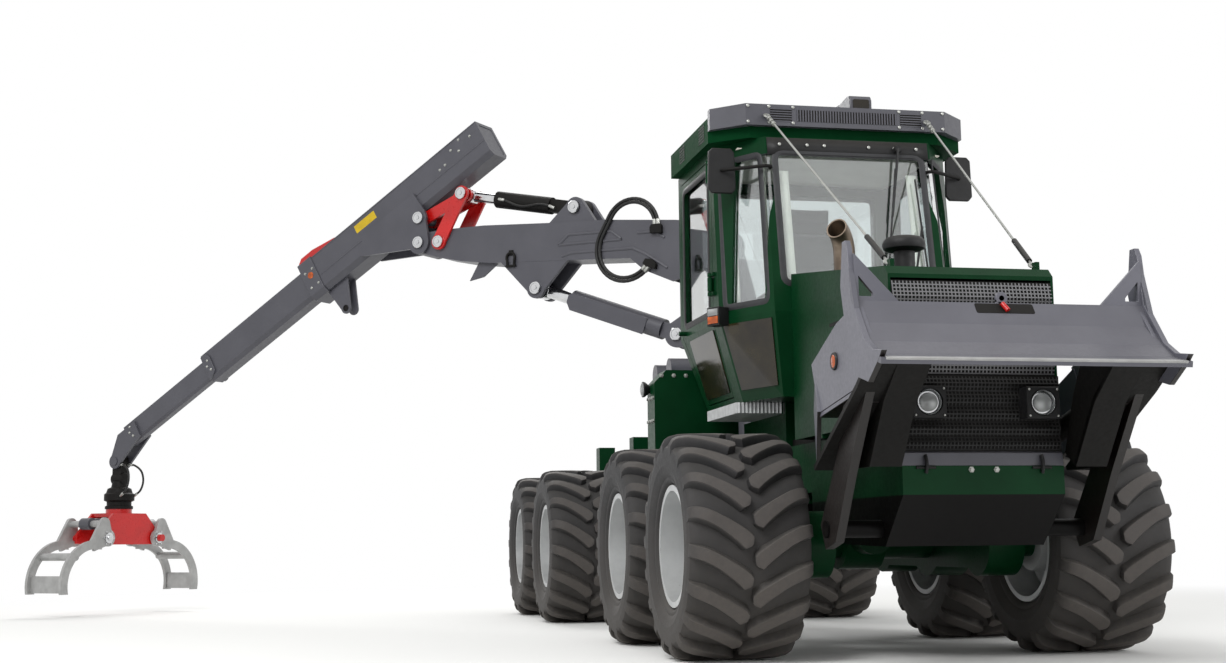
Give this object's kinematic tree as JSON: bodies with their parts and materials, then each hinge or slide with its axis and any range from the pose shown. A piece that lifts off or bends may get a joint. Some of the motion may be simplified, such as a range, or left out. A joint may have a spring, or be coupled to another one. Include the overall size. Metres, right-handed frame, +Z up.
{
  "type": "forestry forwarder",
  "caption": "Articulated forestry forwarder with bogie wheels, glazed cab, raised front blade and a folding timber crane with telescopic jib, rotator and log grapple.",
  "frame": {"origin": "on the ground on the machine's centreline, below the steering pivot", "axes": "+Z up, -Y to the front of the machine, +X to its left side"},
  "size_m": [6.3949, 9.3375, 3.8265],
  "materials": {
    "green_paint": "satin",
    "graphite_paint": "satin",
    "red_paint": "satin",
    "claw_steel": "satin",
    "rim_paint": "satin",
    "tyre_rubber": "matte",
    "hose_rubber": "matte",
    "black_plastic": "matte",
    "soot_paint": "matte",
    "pane_glass": "gloss",
    "rod_chrome": "polished",
    "step_aluminium": "matte",
    "exhaust_steel": "brushed",
    "engine_iron": "matte",
    "lamp_lens": "gloss",
    "seat_fabric": "matte",
    "steel_wire": "brushed"
  },
  "bodies": {
    "front_frame": {"front_frame": "green_paint", "front_bogies": "green_paint", "engine": "engine_iron", "hood": "green_paint", "grilles": "black_plastic", "lamps": "lamp_lens", "exhaust": "exhaust_steel", "air_intake": "black_plastic", "cab_frame": "green_paint", "cab_roof": "green_paint", "roof_visor": "black_plastic", "cab_glass": "pane_glass", "cab_interior": "seat_fabric", "mirrors": "black_plastic", "steps": "step_aluminium", "side_boxes": "green_paint", "limb_wires": "steel_wire"},
    "door": {"door": "green_paint", "door_glass": "pane_glass"},
    "blade": {"blade": "graphite_paint"},
    "blade_barrels": {"blade_barrels": "soot_paint"},
    "blade_rods": {"blade_rods": "rod_chrome"},
    "rear_frame": {"rear_frame": "green_paint", "rear_bogies": "green_paint", "bolsters": "green_paint", "slew_base": "graphite_paint"},
    "column": {"column": "graphite_paint"},
    "boom": {"boom": "graphite_paint", "boom_hoses": "hose_rubber"},
    "lift_barrel": {"lift_barrel": "soot_paint"},
    "lift_rod": {"lift_rod": "rod_chrome"},
    "jib_barrel": {"jib_barrel": "soot_paint"},
    "jib_rod": {"jib_rod": "rod_chrome"},
    "knuckle_link": {"knuckle_link": "red_paint"},
    "knuckle_strut": {"knuckle_strut": "red_paint"},
    "jib": {"jib": "graphite_paint"},
    "extension_1": {"extension_1": "graphite_paint"},
    "extension_2": {"extension_2": "graphite_paint"},
    "hanger": {"hanger": "soot_paint"},
    "grapple": {"grapple_body": "red_paint"},
    "claw_wide": {"claw_wide": "claw_steel"},
    "claw_narrow": {"claw_narrow": "claw_steel"},
    "grapple_barrel": {"grapple_barrel": "soot_paint"},
    "grapple_rod": {"grapple_rod": "rod_chrome"},
    "wheel_1r": {"tyre_1r": "tyre_rubber", "rim_1r": "rim_paint"},
    "wheel_1l": {"tyre_1l": "tyre_rubber", "rim_1l": "rim_paint"},
    "wheel_2r": {"tyre_2r": "tyre_rubber", "rim_2r": "rim_paint"},
    "wheel_2l": {"tyre_2l": "tyre_rubber", "rim_2l": "rim_paint"},
    "wheel_3r": {"tyre_3r": "tyre_rubber", "rim_3r": "rim_paint"},
    "wheel_3l": {"tyre_3l": "tyre_rubber", "rim_3l": "rim_paint"},
    "wheel_4r": {"tyre_4r": "tyre_rubber", "rim_4r": "rim_paint"},
    "wheel_4l": {"tyre_4l": "tyre_rubber", "rim_4l": "rim_paint"}
  },
  "joints": [
    {"name": "steering", "type": "hinge", "parent": "front_frame", "child": "rear_frame", "pos_m": [0, 0, 0.795], "axis": [0, 0, -1], "range_deg": [-38, 38]},
    {"name": "door_hinge", "type": "hinge", "parent": "front_frame", "child": "door", "pos_m": [-0.718, -1.748, 2.1], "axis": [0, 0, 1], "range_deg": [0, 80]},
    {"name": "blade_lift", "type": "hinge", "parent": "front_frame", "child": "blade", "pos_m": [0, -3.45, 0.62], "axis": [1, 0, 0], "range_deg": [0, 68]},
    {"name": "blade_barrel_pivot", "type": "hinge", "parent": "front_frame", "child": "blade_barrels", "pos_m": [0, -3.33, 1.02], "axis": [1, 0, 0], "range_deg": [-1, 54]},
    {"name": "blade_rod_slide", "type": "slide", "parent": "blade_barrels", "child": "blade_rods", "axis": [0, -0.9662, 0.2577], "range_m": [-0.004, 0.42]},
    {"name": "slew", "type": "hinge", "parent": "rear_frame", "child": "column", "pos_m": [0, 0.5, 1.85], "axis": [0, 0, 1], "range_deg": [-180, 80]},
    {"name": "boom_lift", "type": "hinge", "parent": "column", "child": "boom", "pos_m": [-0.03064, 0.52571, 2.66], "axis": [0.6428, 0.766, 0], "range_deg": [-18, 50]},
    {"name": "lift_barrel_pivot", "type": "hinge", "parent": "column", "child": "lift_barrel", "pos_m": [-0.28267, 0.73719, 2.04], "axis": [0.6428, 0.766, 0], "range_deg": [-18, 48]},
    {"name": "lift_rod_slide", "type": "slide", "parent": "lift_barrel", "child": "lift_rod", "axis": [-0.7186, 0.603, 0.3463], "range_m": [-0.21, 0.58]},
    {"name": "jib_fold", "type": "hinge", "parent": "boom", "child": "jib", "pos_m": [-1.98252, 2.16353, 2.915], "axis": [-0.6428, -0.766, 0], "range_deg": [-4, 84]},
    {"name": "jib_barrel_pivot", "type": "hinge", "parent": "boom", "child": "jib_barrel", "pos_m": [-0.91466, 1.26749, 3.052], "axis": [-0.6428, -0.766, 0], "range_deg": [-1, 3]},
    {"name": "jib_rod_slide", "type": "slide", "parent": "jib_barrel", "child": "jib_rod", "axis": [-0.7492, 0.6287, 0.2084], "range_m": [-0.02, 0.39]},
    {"name": "knuckle_link_pivot", "type": "hinge", "parent": "boom", "child": "knuckle_link", "pos_m": [-1.83927, 2.04333, 2.904], "axis": [-0.6428, -0.766, 0], "range_deg": [-4, 60]},
    {"name": "knuckle_strut_pivot", "type": "hinge", "parent": "jib", "child": "knuckle_strut", "pos_m": [-1.98405, 2.16482, 3.112], "axis": [-0.6428, -0.766, 0], "range_deg": [-54, 4]},
    {"name": "extension_1_slide", "type": "slide", "parent": "jib", "child": "extension_1", "axis": [-0.6634, 0.5567, -0.5], "range_m": [-1.1, 0.15]},
    {"name": "extension_2_slide", "type": "slide", "parent": "extension_1", "child": "extension_2", "axis": [-0.6634, 0.5567, -0.5], "range_m": [-0.9, 0.13]},
    {"name": "hanger_swing", "type": "hinge", "parent": "extension_2", "child": "hanger", "pos_m": [-4.49206, 4.26928, 1.31114], "axis": [0.6428, 0.766, 0], "range_deg": [-40, 90]},
    {"name": "rotator", "type": "hinge", "parent": "hanger", "child": "grapple", "pos_m": [-4.49206, 4.26928, 0.9], "axis": [0, 0, 1], "continuous": true},
    {"name": "claw_close", "type": "hinge", "parent": "grapple", "child": "claw_wide", "pos_m": [-4.69132, 4.03181, 0.65], "axis": [0.766, -0.6428, 0], "range_deg": [-8, 70]},
    {"name": "claw_narrow_close", "type": "hinge", "parent": "grapple", "child": "claw_narrow", "pos_m": [-4.29279, 4.50676, 0.65], "axis": [-0.766, 0.6428, 0], "range_deg": [-8.5, 70.5]},
    {"name": "grapple_barrel_pivot", "type": "hinge", "parent": "claw_wide", "child": "grapple_barrel", "pos_m": [-4.71704, 4.00117, 0.77], "axis": [0.766, -0.6428, 0], "range_deg": [-70.5, 8.5]},
    {"name": "grapple_rod_slide", "type": "slide", "parent": "grapple_barrel", "child": "grapple_rod", "axis": [0.6428, 0.766, 0], "range_m": [-0.021, 0.175]},
    {"name": "wheel_1r_spin", "type": "hinge", "parent": "front_frame", "child": "wheel_1r", "pos_m": [-0.92, -2.7, 0.55], "axis": [1, 0, 0], "continuous": true},
    {"name": "wheel_1l_spin", "type": "hinge", "parent": "front_frame", "child": "wheel_1l", "pos_m": [0.92, -2.7, 0.55], "axis": [1, 0, 0], "continuous": true},
    {"name": "wheel_2r_spin", "type": "hinge", "parent": "front_frame", "child": "wheel_2r", "pos_m": [-0.92, -1.35, 0.55], "axis": [1, 0, 0], "continuous": true},
    {"name": "wheel_2l_spin", "type": "hinge", "parent": "front_frame", "child": "wheel_2l", "pos_m": [0.92, -1.35, 0.55], "axis": [1, 0, 0], "continuous": true},
    {"name": "wheel_3r_spin", "type": "hinge", "parent": "rear_frame", "child": "wheel_3r", "pos_m": [-0.92, 1.35, 0.55], "axis": [1, 0, 0], "continuous": true},
    {"name": "wheel_3l_spin", "type": "hinge", "parent": "rear_frame", "child": "wheel_3l", "pos_m": [0.92, 1.35, 0.55], "axis": [1, 0, 0], "continuous": true},
    {"name": "wheel_4r_spin", "type": "hinge", "parent": "rear_frame", "child": "wheel_4r", "pos_m": [-0.92, 2.7, 0.55], "axis": [1, 0, 0], "continuous": true},
    {"name": "wheel_4l_spin", "type": "hinge", "parent": "rear_frame", "child": "wheel_4l", "pos_m": [0.92, 2.7, 0.55], "axis": [1, 0, 0], "continuous": true}
  ],
  "couplings": [
    {"joint": "blade_barrel_pivot", "follows": "blade_lift", "ratio": 0.775},
    {"joint": "blade_rod_slide", "follows": "blade_lift", "m_per_rad": 0.35},
    {"joint": "lift_barrel_pivot", "follows": "boom_lift", "ratio": 0.93},
    {"joint": "lift_rod_slide", "follows": "boom_lift", "m_per_rad": 0.66},
    {"joint": "jib_barrel_pivot", "follows": "jib_fold", "ratio": 0.02},
    {"joint": "jib_rod_slide", "follows": "jib_fold", "m_per_rad": 0.245},
    {"joint": "knuckle_link_pivot", "follows": "jib_fold", "ratio": 0.63},
    {"joint": "knuckle_strut_pivot", "follows": "jib_fold", "ratio": -0.58},
    {"joint": "extension_2_slide", "follows": "extension_1_slide", "ratio": 0.8},
    {"joint": "claw_narrow_close", "follows": "claw_close", "ratio": 1},
    {"joint": "grapple_barrel_pivot", "follows": "claw_close", "ratio": -1},
    {"joint": "grapple_rod_slide", "follows": "claw_close", "m_per_rad": 0.1415}
  ]
}
